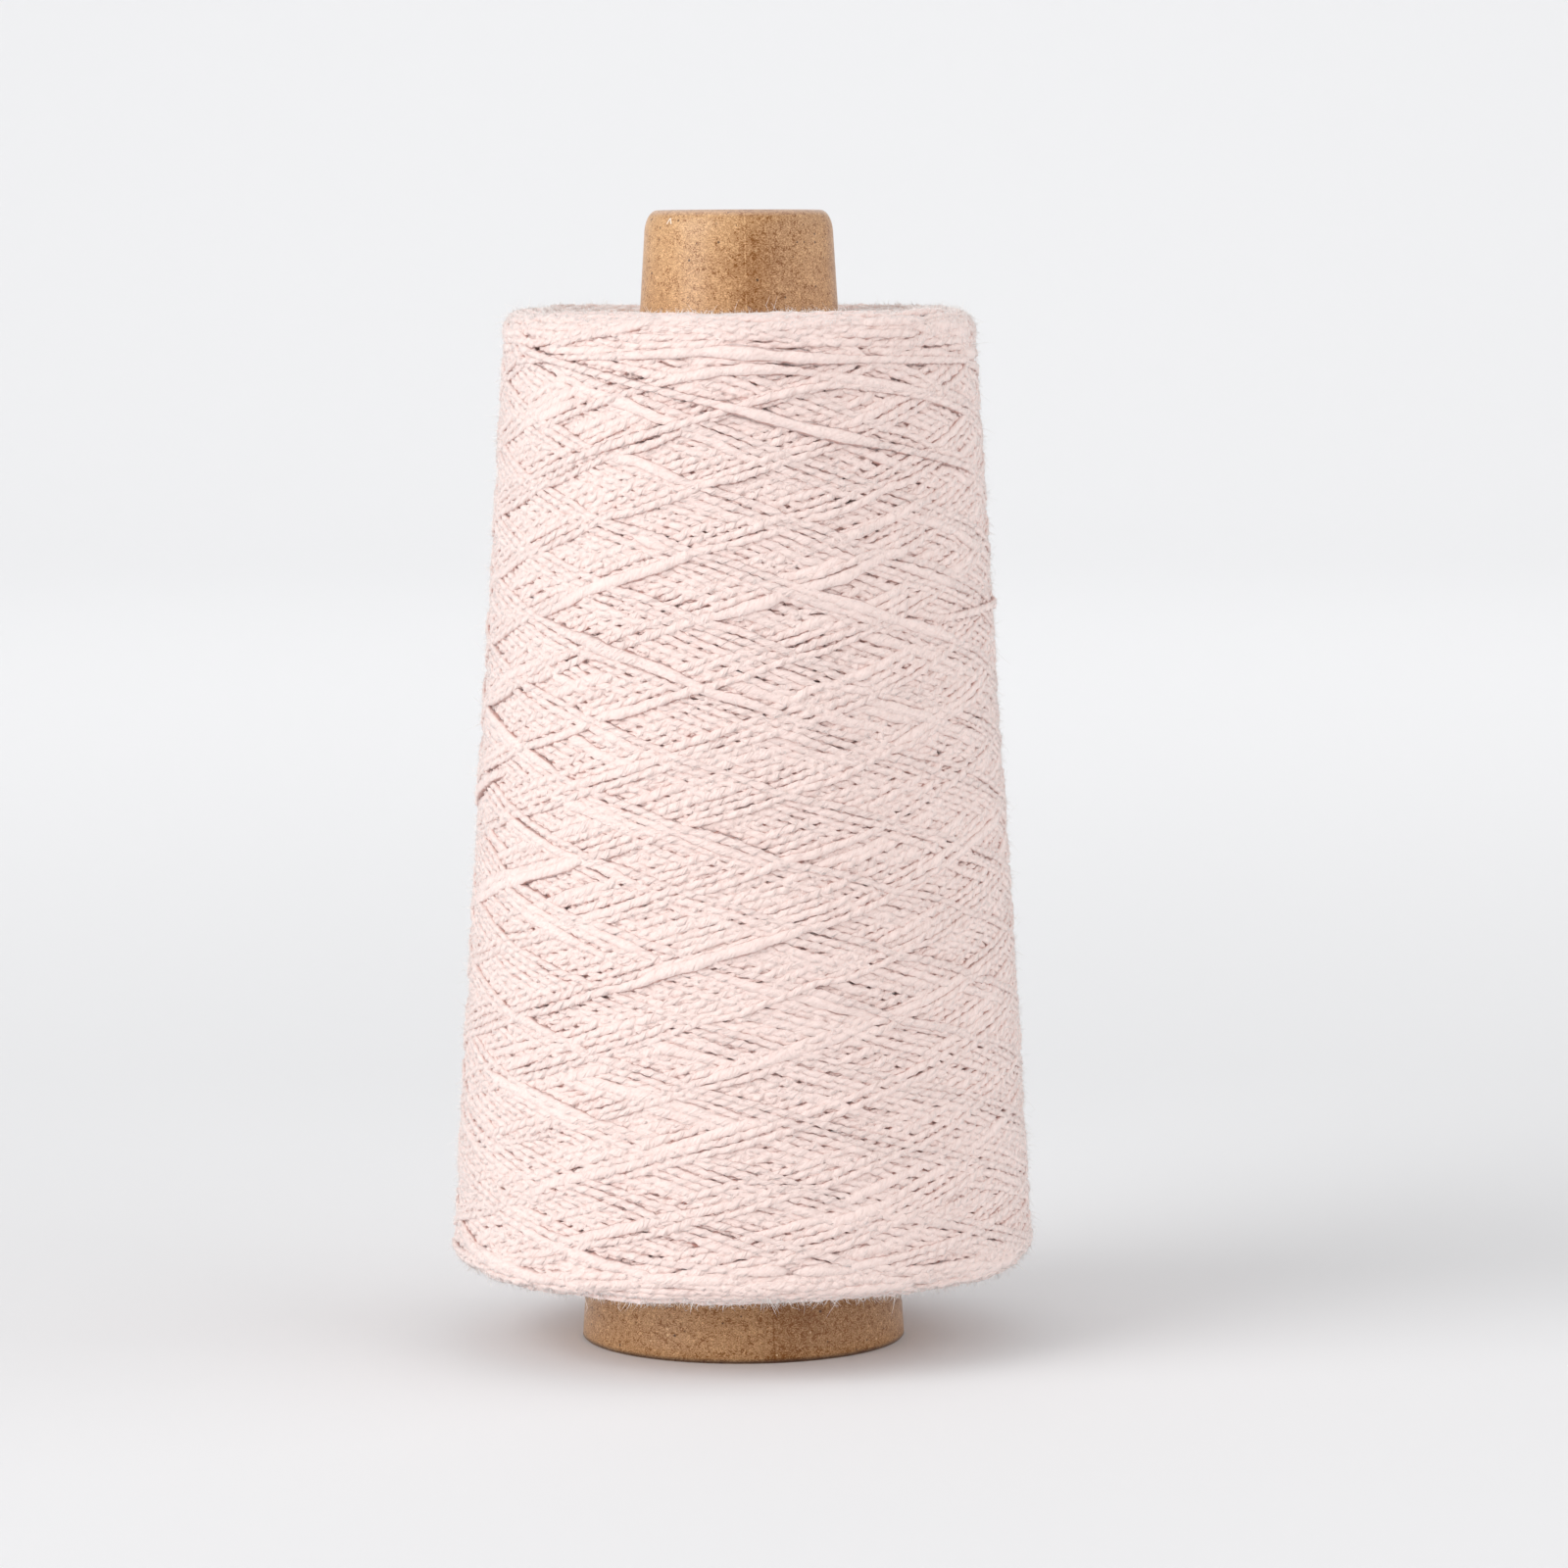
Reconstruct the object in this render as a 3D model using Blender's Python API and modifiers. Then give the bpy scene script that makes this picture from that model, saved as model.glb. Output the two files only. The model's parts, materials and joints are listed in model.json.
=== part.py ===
"""A cone of yarn: slub cotton cross-wound on a hollow paperboard cone, standing on its wide end.

Lengths are in metres and +Z is up. The origin is the centre of the cone's foot, on the surface it
stands on. Angles round the axis start at the front, which faces -Y, and grow to the right.
"""

import math

import bmesh
import bpy

# Paperboard cone, of the usual 3 degree 30 minute taper.
CONE_HEIGHT = 0.1700
CONE_FOOT_RADIUS = 0.0244
CONE_TAPER = math.tan(math.radians(3.53))
CONE_WALL = 0.0020
NOSE_LIP_RADIUS = 0.0122  # the ring along which the rounded nose is highest
NOSE_START = 0.1662  # where the straight wall begins to round into the nose
NOSE_CURL = 0.0009  # how far the lip curls in over the bore
FOOT_ROUNDING = 0.0003
NOSE_FACETS = 6
CONE_STEPS = 72

# Wound yarn. Its radii are over the crests of the newest strands.
YARN_BOTTOM = 0.0120
YARN_TOP = 0.1554
YARN_BOTTOM_RADIUS = 0.0437
YARN_TOP_RADIUS = 0.0352
SHOULDER_RADIUS = 0.0036
SHOULDER_FACETS = 4
END_DISH = 0.0012  # each end face sinks by this much towards the cone
END_BULGE = 0.0004  # the strands turn round near each end and pile up there
GAP_TO_CONE = 0.0003

# Winding: the strand climbs and falls at one pitch, and the newest turns cross as a lattice.
LATTICE_STARTS = 8
LATTICE_PITCH = 0.0097  # height between neighbouring newest strands
STRANDS_PER_CELL = 6  # columns and rows of points from one newest strand to the next
RISING_HEIGHT = 0.0828  # where a newest rising strand passes the front
FALLING_ROWS_BELOW = 14  # a newest falling strand passes the front this many rows lower
CREST_HEIGHT = 0.0006  # a newest strand stands this proud of the one beside it
CELL_DEPTH = 0.0010  # the oldest strands of a cell lie this much deeper than the newest
RELIEF_FADE = 0.0090  # the relief grows from nothing over this height at each end

YARN_STEPS = LATTICE_STARTS * STRANDS_PER_CELL
ROW_HEIGHT = LATTICE_PITCH / STRANDS_PER_CELL

# sRGB colours, 0 to 1.
KRAFT = (0.76, 0.59, 0.42)
PALE_PINK = (0.96, 0.86, 0.83)


def clear_scene():
    for obj in list(bpy.data.objects):
        bpy.data.objects.remove(obj)


def material(name, srgb, roughness):
    linear = [(c / 12.92) if c <= 0.04045 else ((c + 0.055) / 1.055) ** 2.4 for c in srgb]
    made = bpy.data.materials.new(name)
    made.use_nodes = True
    shader = made.node_tree.nodes["Principled BSDF"]
    shader.inputs["Base Color"].default_value = (*linear, 1)
    shader.inputs["Roughness"].default_value = roughness
    shader.inputs["Metallic"].default_value = 0
    return made


def cone_radius(height):
    """The paperboard cone's outer radius, before its nose is rounded."""
    return CONE_FOOT_RADIUS - CONE_TAPER * height


def package_radius(height):
    """The wound yarn's outer radius over its crests, with the slight bulge at each end."""
    along = (height - YARN_BOTTOM) / (YARN_TOP - YARN_BOTTOM)
    straight = YARN_BOTTOM_RADIUS + (YARN_TOP_RADIUS - YARN_BOTTOM_RADIUS) * along
    from_end = min(height - YARN_BOTTOM, YARN_TOP - height)
    return straight + END_BULGE * max(0.0, 1 - from_end / RELIEF_FADE)


def cone_profile():
    """The cone wall's closed outline, from the lip down the outside and up the bore."""
    outline = []
    wall_top = cone_radius(NOSE_START)
    for i in range(NOSE_FACETS + 1):
        turn = math.pi / 2 * i / NOSE_FACETS
        radius = NOSE_LIP_RADIUS + (wall_top - NOSE_LIP_RADIUS) * math.sin(turn)
        height = NOSE_START + (CONE_HEIGHT - NOSE_START) * math.cos(turn)
        outline.append((radius, height))
    outline.append((cone_radius(FOOT_ROUNDING), FOOT_ROUNDING))
    outline.append((cone_radius(0) - FOOT_ROUNDING, 0))
    outline.append((cone_radius(0) - CONE_WALL + FOOT_ROUNDING, 0))
    outline.append((cone_radius(FOOT_ROUNDING) - CONE_WALL, FOOT_ROUNDING))
    outline.append((wall_top - CONE_WALL, NOSE_START))
    mouth = cone_radius(CONE_HEIGHT) - CONE_WALL - NOSE_CURL
    mouth_height = CONE_HEIGHT - (NOSE_LIP_RADIUS - mouth)  # the lip slopes in at 45 degrees
    outline.append((mouth, (NOSE_START + mouth_height) / 2))
    outline.append((mouth, mouth_height))
    return outline


def yarn_profile():
    """The wound yarn's closed outline, from the bore over the top, down the side and under."""
    clear_of_cone = math.cos(math.pi / YARN_STEPS)  # a facet's middle lies nearer the axis

    def bore_radius(height):
        return (cone_radius(height) + GAP_TO_CONE) / clear_of_cone

    def shoulder(end, inward):
        """Points of a quarter turn from the end face round to the side."""
        side_height = end + inward * SHOULDER_RADIUS
        centre_radius = package_radius(side_height) - SHOULDER_RADIUS
        turns = [math.pi / 2 * i / SHOULDER_FACETS for i in range(SHOULDER_FACETS + 1)]
        return [
            (
                centre_radius + SHOULDER_RADIUS * math.sin(turn),
                side_height - inward * SHOULDER_RADIUS * math.cos(turn),
            )
            for turn in turns
        ]

    first_row = math.ceil((YARN_BOTTOM + SHOULDER_RADIUS - RISING_HEIGHT) / ROW_HEIGHT + 0.4)
    last_row = math.floor((YARN_TOP - SHOULDER_RADIUS - RISING_HEIGHT) / ROW_HEIGHT - 0.4)
    rows = [RISING_HEIGHT + row * ROW_HEIGHT for row in range(first_row, last_row + 1)]
    side = [(package_radius(height), height) for height in reversed(rows)]

    top_inner = YARN_TOP - END_DISH
    bottom_inner = YARN_BOTTOM + END_DISH
    top = [(bore_radius(top_inner), top_inner), *shoulder(YARN_TOP, -1)]
    bottom = [*reversed(shoulder(YARN_BOTTOM, 1)), (bore_radius(bottom_inner), bottom_inner)]
    return top + side + bottom


def turned(name, outline, steps, collection):
    """An object made by turning a closed outline round the Z axis with a Screw modifier."""
    points = [(radius, 0, height) for radius, height in outline]
    edges = [(i, (i + 1) % len(points)) for i in range(len(points))]
    mesh = bpy.data.meshes.new(name)
    mesh.from_pydata(points, edges, [])
    obj = bpy.data.objects.new(name, mesh)
    collection.objects.link(obj)
    screw = obj.modifiers.new("Turn", "SCREW")
    screw.axis = "Z"
    screw.steps = steps
    screw.render_steps = steps
    screw.use_merge_vertices = True
    screw.merge_threshold = 0.00001
    screw.use_smooth_shade = True
    return obj


def made_mesh(obj):
    """The same object with its modifiers turned into mesh points."""
    graph = bpy.context.evaluated_depsgraph_get()
    mesh = bpy.data.meshes.new_from_object(obj.evaluated_get(graph))
    obj.modifiers.clear()
    obj.data = mesh
    return obj


def strand_age(point):
    """How old the top strand is at a point of the side: 0 on a newest one, towards 1 before it.

    Each round of winding lays its strands a little to the right of the round before, so strands
    grow older to the left of a newest one, and the oldest lie hard against its right side.
    """
    angle = math.atan2(point.y, point.x) + math.pi / 2
    column = LATTICE_STARTS * angle / (2 * math.pi)
    falling_height = RISING_HEIGHT - FALLING_ROWS_BELOW * ROW_HEIGHT
    rising = -(column - (point.z - RISING_HEIGHT) / LATTICE_PITCH) % 1
    falling = -(column + (point.z - falling_height) / LATTICE_PITCH) % 1
    half_row = 0.5 / STRANDS_PER_CELL
    rising = 0 if rising > 1 - half_row else rising
    falling = 0 if falling > 1 - half_row else falling
    return min(rising, falling)


def sunk_by(point):
    """How far a point of the side lies below the crests of the newest strands."""
    age = strand_age(point)
    depth = CELL_DEPTH * age
    if age > 0.5 / STRANDS_PER_CELL:
        depth += CREST_HEIGHT
    from_end = min(point.z - YARN_BOTTOM, YARN_TOP - point.z)
    return depth * min(1.0, max(0.0, (from_end - SHOULDER_RADIUS) / RELIEF_FADE))


def raise_winding(obj):
    """Raises the crossing strands in the side's points, and folds its faces along them."""
    mesh = bmesh.new()
    mesh.from_mesh(obj.data)
    low = YARN_BOTTOM + SHOULDER_RADIUS
    high = YARN_TOP - SHOULDER_RADIUS
    bore = cone_radius(0) + 2 * GAP_TO_CONE
    depth_at = {}
    for vert in mesh.verts:
        radius = math.hypot(vert.co.x, vert.co.y)
        on_side = radius > bore and low < vert.co.z < high
        depth = sunk_by(vert.co) if on_side else 0.0
        depth_at[vert] = depth
        vert.co.x *= (radius - depth) / radius
        vert.co.y *= (radius - depth) / radius
    for face in list(mesh.faces):
        a, b, c, d = face.verts
        if depth_at[a] + depth_at[c] < depth_at[b] + depth_at[d]:
            bmesh.utils.face_split(face, a, c)
        elif depth_at[a] + depth_at[c] > depth_at[b] + depth_at[d]:
            bmesh.utils.face_split(face, b, d)
    mesh.to_mesh(obj.data)
    mesh.free()


def make_paper_cone(collection):
    obj = turned("paper_cone", cone_profile(), CONE_STEPS, collection)
    made_mesh(obj)
    obj.data.set_sharp_from_angle(angle=math.radians(35))
    obj.data.materials.append(material("kraft_paperboard", KRAFT, 0.75))
    return obj


def make_wound_yarn(collection):
    obj = turned("wound_yarn", yarn_profile(), YARN_STEPS, collection)
    made_mesh(obj)
    raise_winding(obj)
    obj.data.shade_smooth()
    obj.data.materials.append(material("pink_cotton", PALE_PINK, 0.95))
    return obj


def main():
    clear_scene()
    collection = bpy.data.collections.new("cone_of_yarn")
    bpy.context.scene.collection.children.link(collection)
    make_paper_cone(collection)
    make_wound_yarn(collection)


main()
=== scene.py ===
"""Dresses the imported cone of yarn: the paperboard cone, the cross-wound slub cotton and its fuzz.

The winding is laid turn by turn, as a winder does: each stroke of the strand climbs or falls along
the package, settles into the lowest groove near its path and rests on the turns below. Only the
stretches of strand that stay uncovered are made as meshes.

Lengths are in metres and +Z is up. Angles round the axis start at the front, which faces -Y, and
grow to the right. "Along" is a distance along the package's outline, from the cone under the
winding, round its side, to the cone above it; on the side it is nearly the height.
"""

import json
import math

import bmesh
import bpy
import numpy as np
from bpy.props import FloatProperty, FloatVectorProperty, IntProperty, PointerProperty
from bpy.types import NodeSocket, Operator, Panel, PropertyGroup
from mathutils import Matrix, Vector

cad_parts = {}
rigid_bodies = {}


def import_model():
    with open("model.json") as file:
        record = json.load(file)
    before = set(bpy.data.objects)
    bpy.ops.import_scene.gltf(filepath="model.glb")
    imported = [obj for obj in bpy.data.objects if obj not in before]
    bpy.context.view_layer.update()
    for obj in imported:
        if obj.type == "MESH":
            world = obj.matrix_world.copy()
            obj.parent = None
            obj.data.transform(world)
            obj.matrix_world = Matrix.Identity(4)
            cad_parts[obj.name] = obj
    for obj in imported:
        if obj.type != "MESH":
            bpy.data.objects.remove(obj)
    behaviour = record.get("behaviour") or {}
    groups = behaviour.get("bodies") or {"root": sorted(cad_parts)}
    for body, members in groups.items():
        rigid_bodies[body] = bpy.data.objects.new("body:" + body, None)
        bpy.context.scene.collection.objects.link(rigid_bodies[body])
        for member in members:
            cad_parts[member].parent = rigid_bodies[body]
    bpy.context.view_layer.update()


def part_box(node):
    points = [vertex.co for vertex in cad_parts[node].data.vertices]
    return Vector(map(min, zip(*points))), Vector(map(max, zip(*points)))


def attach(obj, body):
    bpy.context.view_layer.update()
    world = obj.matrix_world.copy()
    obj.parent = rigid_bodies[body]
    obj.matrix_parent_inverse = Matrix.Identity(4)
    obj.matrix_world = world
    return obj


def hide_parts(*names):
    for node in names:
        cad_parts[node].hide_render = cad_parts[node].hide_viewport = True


bl_info = {
    "name": "Cone of Yarn",
    "version": (1, 0, 0),
    "blender": (4, 5, 0),
    "location": "3D View > Sidebar > Yarn Cone",
    "description": "Winds slub cotton on a paperboard cone, turn by turn",
    "category": "Object",
}

# Blender's own startup objects go first, so that only the frame is measured.
for startup_name in ("Cube", "Light", "Camera"):
    if startup_name in bpy.data.objects:
        bpy.data.objects.remove(bpy.data.objects[startup_name])

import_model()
CONE_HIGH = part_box("paper_cone")[1]
YARN_LOW, YARN_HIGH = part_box("wound_yarn")

MM = 0.001
WHOLE_TURN = 2 * math.pi
BODY = "root"

# --- Sizes. The frame gives the heights of both ends and the radius of the cone's foot ---

CONE_TAPER = math.tan(math.radians(3.53))
CONE_WALL = 2.0 * MM
CUT_WEAR = 0.3 * MM  # how far the foot's cut edges are worn round
NOSE_START = 166.2 * MM  # the nose rounds over above this height
NOSE_LIP_RADIUS = 12.2 * MM  # the ring on which the nose is highest
MOUTH_INSET = 0.9 * MM  # how much narrower the curled-in mouth is than the bore
CURL_DROP = 1.2 * MM  # how far the nose's edge curls down into the mouth

# The lap of the board's last layer, as an angle right of the front.
LAP_AT_FOOT = math.radians(10.9)
LAP_AT_NOSE = math.radians(3.5)
LAP_EDGE = 0.16 * MM

# A small torn nick in the board near its nose: two legs that part downwards from its top.
NICK_ANGLE = math.radians(-48)
NICK_TOP = 168.9 * MM
NICK_RADIUS = 12.5 * MM  # of the nose, where the nick is
NICK_MIDDLE = 0.4 * MM  # under its top
NICK_REACH = 0.45 * MM  # up and down from its middle
NICK_SLOPE = 0.5
NICK_LINE = 0.09 * MM

# The winding's form. Its side swells, or sinks, by so many mm at such heights in mm.
GAP_TO_CONE = 0.3 * MM
PACKAGE_TOP_RADIUS = 35.2 * MM
PACKAGE_BOTTOM_RADIUS = 43.7 * MM
SHOULDER_RADIUS = 3.2 * MM
END_DISH = 1.2 * MM
SWELL_HEIGHTS = np.array([12, 22, 35, 52, 72, 95, 120, 140, 152])
SWELLS = np.array([0.5, 0.5, 0.25, 0.0, -0.3, -0.55, -0.45, -0.4, 0.0])

# The map of heights that the turns are laid on.
MAP_COLUMNS = 1024
MAP_ROW = 0.25 * MM
LAY_STEP = 0.45 * MM
YARN_STEP = 1.0 * MM  # between the places where the yarn's unevenness is stated

# How a strand sits on what is below it.
PRESSED = 0.9  # a laid strand is this much as high as it is wide
SLUB_PRESSED = 0.66
SINK = 0.2 * MM
SLIDES = np.array([-0.5, -0.25, 0.0, 0.25, 0.5]) * MM
SLIDE_COST = 0.12  # the rise that a metre of sliding has to save
GROOVE_CHOICE = 0.07 * MM  # rises that differ by less are as good as each other
LEVEL_RANGE = 0.55 * MM
USUAL_RISE = 0.35 * MM

# The short turns that show on the two end faces.
END_TURNS = 19  # in each ring
END_TURN_REACH = 0.40  # radians to each side of its middle
END_RING_SPACING = 1.12 * MM
END_SINK = 0.72 * MM  # the middle's depth under the surface
END_DIVE = 8 * MM  # a turn's fall one radian from its middle

# The strokes up and down the side.
STROKE_LENGTH = 0.55  # a little more than a stroke takes
SPARE_LENGTH = 40.0  # for the end faces and the late turns
STROKE_RADIUS = 39.4 * MM  # the package's mean radius
WAVE_RADIUS = 39 * MM  # the radius at which the waves of a stroke have their length
TURNING = 0.8  # radians that a stroke takes to turn round
EARLY_SHARE = 0.15  # of the strokes turn round early

# Levelling. In each row of the map, crests and troughs lie at these percentiles of its heights,
# which are counted where the strokes run evenly, and then pressed together.
CREST_SHARE = 92
TROUGH_SHARE = 25
EVEN_FROM, EVEN_TO = 13.5 * MM, 154.5 * MM
RELIEF = 0.37

# Turns laid last. Each has how far along it its first slub lies and how far it is pressed into
# the rest, both in mm, and its way: degrees round from the front, and height in mm.
LATE_TURNS = (
    (40, 0.6, (
        (-76, 147.8), (-51, 148.8), (-17, 149.8), (-8, 150.3), (17, 149), (74, 148), (82, 147.8),
    )),
    (150, 0.6, (
        (-70, 128.5), (-40, 134.8), (-8, 140.7), (1, 142.5), (10, 144), (17, 145.1), (25, 145.3),
        (35, 144.5), (48, 143.2), (64, 141.1), (80, 138),
    )),
    (150, 0.6, (
        (-60, 137.5), (-27, 144.1), (-17, 145.8), (-10, 146.9), (-3, 147.6), (10, 147.6),
        (20, 146.7), (41, 144.5), (71, 141.4), (80, 139.7),
    )),
    (50, 0.4, (
        (-73, 151.3), (-38, 147.2), (-17, 144.2), (1, 141.6), (17, 138.6), (37, 136), (69, 132),
        (78, 130),
    )),
    (150, 0.45, (
        (44, 110.2), (60, 110.8), (75, 111.4), (90, 111.8), (104, 111.8), (125, 111),
    )),
    (18, 0.5, (
        (-55, 89.5), (-70, 86.4), (-82, 83.6), (-92, 82), (-104, 79), (-128, 74),
    )),
)
LATE_RADIUS = 37 * MM  # roughly where they lie
LATE_DIVE = 2.2 * MM  # how far a late turn's ends dive under the rest
LATE_DIVE_LENGTH = 9 * MM

# A strand's mesh: points round its top, as angles from its right side, how much its two plies
# stand out of a circle, and how many laid steps lie from one ring to the next.
RING = np.radians([-18, 54, 126, 198])
PLY_RIDGE = 0.26
SOFT_WIDTH = 1.12
SPREAD = 1.04  # a laid strand is this much wider than it would be alone
SIDE_STEPS = 2
FACE_STEPS = 3
PIECE_POINTS = 92000  # the most points in one piece of strands
CREST_REACH = 5  # cells of the map within which a crest shades what lies beside it

# The shell under the strands.
BED_COLUMNS = 128
BED_ROWS = 64
BED_WALL = 1.3 * MM
BED_DEEPEST = 2.2 * MM

# The kinds of fuzz: how long their fibres usually are, in mm, how much they rise from the yarn,
# how they curl, their width against the fibre width, and how many segments each has.
FUZZ_KINDS = {
    "side": (0.8, (0.1, 1.8), 0, 1.4, 1),
    "loose": (2.0, (0.1, 1.0), 0.9, 1.1, 3),
    "bottom": (1.1, (0.2, 2.5), 1.5, 1.8, 2),
    "top": (1.1, (0.5, 2.5), 1.4, 1.8, 2),
    "rim": (0.6, (0.6, 2.5), 1.4, 1.8, 2),
}
LONGEST_FIBRE = 4.5 * MM

# The studio: a floor that bends up into a wall, and a camera's sensor in mm.
FLOOR_WIDTH = 8
WALL_HEIGHT = 5
SWEEP_BEND = 2.2
SENSOR_WIDTH = 36

# The lamps: each one's name, its place, what it points at, its width and its power in watts.
CONE_MIDDLE = (0, 0, 0.08)
WALL_BEHIND = (0, 4.0, 1.7)
LAMPS = (
    ("key", (-1.9, -1.2, 1.3), CONE_MIDDLE, 2.3, 38.0),
    ("low key", (-2.0, -1.4, 0.6), CONE_MIDDLE, 1.3, 9.0),
    ("front right", (1.9, -1.5, 0.9), CONE_MIDDLE, 1.8, 11.0),
    ("fill", (2.3, 0.1, 1.2), CONE_MIDDLE, 2.6, 15.5),
    ("wall", (0, 0.6, 2.2), WALL_BEHIND, 1.5, 29.6),
)


# --- Small tools ---


def srgb(*values):
    """Linear colour of sRGB values from 0 to 255."""
    shares = [v / 255 for v in values]
    return [c / 12.92 if c <= 0.04045 else ((c + 0.055) / 1.055) ** 2.4 for c in shares]


def deselect_all():
    for obj in bpy.context.view_layer.objects:
        obj.select_set(False)


def select_edges(obj, wanted):
    """Selects those edges of a mesh in edit mode that are wanted."""
    mesh = bmesh.from_edit_mesh(obj.data)
    for edge in mesh.edges:
        edge.select = wanted(edge)
    bmesh.update_edit_mesh(obj.data)
    bpy.ops.mesh.select_mode(type="EDGE")


def finish_piece(obj, material):
    """Gives a finished piece its material and body."""
    obj.data.materials.append(material)
    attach(obj, BODY)


def mesh_object(name, points, quads, ends, uvs, values):
    """A smooth mesh object from arrays.

    points: (n, 3); quads: (m, 4) point numbers; ends: (k, sides) point numbers of the end caps;
    uvs: two numbers for each corner, the quads' corners first; values: named numbers per point.
    """
    corners = np.concatenate([quads.ravel(), ends.ravel()]).astype(np.int32)
    sizes = np.repeat([4, ends.shape[1]], [len(quads), len(ends)]).astype(np.int32)
    starts = (np.cumsum(sizes) - sizes).astype(np.int32)
    mesh = bpy.data.meshes.new(name)
    mesh.vertices.add(len(points))
    mesh.loops.add(len(corners))
    mesh.polygons.add(len(sizes))
    mesh.vertices.foreach_set("co", points.astype(np.float32).ravel())
    mesh.loops.foreach_set("vertex_index", corners)
    mesh.polygons.foreach_set("loop_start", starts)
    mesh.polygons.foreach_set("loop_total", sizes)
    mesh.polygons.foreach_set("use_smooth", np.ones(len(sizes), bool))
    mesh.uv_layers.new(name="Strand").uv.foreach_set("vector", uvs.astype(np.float32).ravel())
    for key, numbers in values.items():
        attribute = mesh.attributes.new(key, "FLOAT", "POINT")
        attribute.data.foreach_set("value", numbers.astype(np.float32))
    mesh.update()
    mesh.validate()
    obj = bpy.data.objects.new(name, mesh)
    bpy.context.scene.collection.objects.link(obj)
    return obj


def unit(vectors):
    return vectors / np.linalg.norm(vectors, axis=-1, keepdims=True)


def bell(sigma, step):
    """Weights of a Gaussian of that width, for values one step apart."""
    reach = max(1, int(3 * sigma / step))
    weights = np.exp(-0.5 * (np.arange(-reach, reach + 1) * step / sigma) ** 2)
    return weights / weights.sum()


def smoothed(values, weights):
    reach = len(weights) // 2
    return np.convolve(np.pad(values, reach, "edge"), weights, "valid")


def widest(values, reach):
    """Each value replaced by the largest one within that many places of it."""
    padded = np.pad(values, reach, "edge")
    return np.lib.stride_tricks.sliding_window_view(padded, 2 * reach + 1).max(1)


def drift(generator, length, wave, step):
    """Smooth random numbers, of spread 1, along a length."""
    knots = generator.normal(size=int(length / wave) + 4)
    at = np.arange(int(length / step) + 1) * step / wave
    whole = at.astype(int)
    part = at - whole
    part = part * part * (3 - 2 * part)
    return knots[whole] * (1 - part) + knots[whole + 1] * part


# --- The package's surface and the heights on it ---


def cone_radius(height):
    return CONE_HIGH.x - CONE_TAPER * height


def package_radius(height):
    """The winding is a little hollow above its middle and full near its foot."""
    share = (height - YARN_LOW.z) / (YARN_HIGH.z - YARN_LOW.z)
    straight = PACKAGE_BOTTOM_RADIUS + (PACKAGE_TOP_RADIUS - PACKAGE_BOTTOM_RADIUS) * share
    return straight + np.interp(height, SWELL_HEIGHTS * MM, SWELLS * MM)


def package_outline():
    """Points (radius, height) from the cone under the winding, round its side, back to the cone."""
    points = []
    for end, inward in ((YARN_LOW.z, 1), (YARN_HIGH.z, -1)):
        side = end + inward * SHOULDER_RADIUS
        centre = package_radius(side) - SHOULDER_RADIUS
        inner = cone_radius(end) + GAP_TO_CONE
        face = []
        for share in np.linspace(0, 1, 40, endpoint=False):
            sunk = END_DISH * (1 - share) ** 2
            face.append((inner + (centre - inner) * share, end + inward * sunk))
        for turn in np.linspace(0, math.pi / 2, 30):
            out = SHOULDER_RADIUS * math.sin(turn)
            face.append((centre + out, side - inward * SHOULDER_RADIUS * math.cos(turn)))
        points += face[::inward]
    return np.array(points)


class Package:
    """The package's unrolled surface, with a map of how high the yarn has grown on it."""

    last_wound = None  # the package that the fuzz grows on

    def __init__(self):
        outline = package_outline()
        gaps = np.hypot(*np.diff(outline, axis=0).T)
        along = np.concatenate([[0], np.cumsum(gaps)])
        # Half-way up the winding, the distance along the outline is made equal to the height.
        middle = (YARN_LOW.z + YARN_HIGH.z) / 2
        side = np.argmax(np.diff(outline[:, 1]))
        share = (middle - outline[side, 1]) / (outline[side + 1, 1] - outline[side, 1])
        along += middle - (along[side] + share * gaps[side])
        self.first, self.last = along[0], along[-1]
        self.rows = self.first + np.arange(int((self.last - self.first) / MAP_ROW) + 2) * MAP_ROW
        self.radii = np.interp(self.rows, along, outline[:, 0])
        self.heights = np.interp(self.rows, along, outline[:, 1])
        corner = bell(0.5 * MM, MAP_ROW)
        out = smoothed(np.gradient(self.heights), corner)
        up = -smoothed(np.gradient(self.radii), corner)
        size = np.hypot(out, up)
        self.out, self.up = out / size, up / size
        self.clear(0.0)

    def clear(self, height):
        self.grown = np.full((MAP_COLUMNS, len(self.rows)), height, np.float32)

    def at(self, values, along):
        return np.interp(along, self.rows, values)

    def cells(self, angle, along):
        column = np.floor(angle * (MAP_COLUMNS / WHOLE_TURN)).astype(np.int64) % MAP_COLUMNS
        row = ((along - self.first) / MAP_ROW + 0.5).astype(np.int64)
        return column, np.clip(row, 0, len(self.rows) - 1)

    def sideways(self, angle, along):
        """How far angle and along change for one metre to a strand's side."""
        radius = self.at(self.radii, along)
        round_it = np.gradient(angle) * radius
        up_it = np.gradient(along)
        size = np.hypot(round_it, up_it)
        return -up_it / size / radius, round_it / size

    def place(self, angle, along, height):
        """Points in space, and outward normals, at heights over the surface."""
        out, up = self.at(self.out, along), self.at(self.up, along)
        radius = self.at(self.radii, along) + out * height
        level = self.at(self.heights, along) + up * height
        sine, cosine = np.sin(angle), np.cos(angle)
        points = np.stack([radius * sine, -radius * cosine, level], -1)
        normals = np.stack([out * sine, -out * cosine, up], -1)
        return points, normals

    def find_crests(self):
        """Notes the height of the highest yarn within about a strand's width of each cell."""
        self.crests = self.grown
        for axis in (0, 1):
            moved = [np.roll(self.crests, i, axis) for i in range(-CREST_REACH, CREST_REACH + 1)]
            self.crests = np.max(moved, axis=0)


# --- The yarn itself: how thick, how twisted and how slubby it is along its length ---


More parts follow.
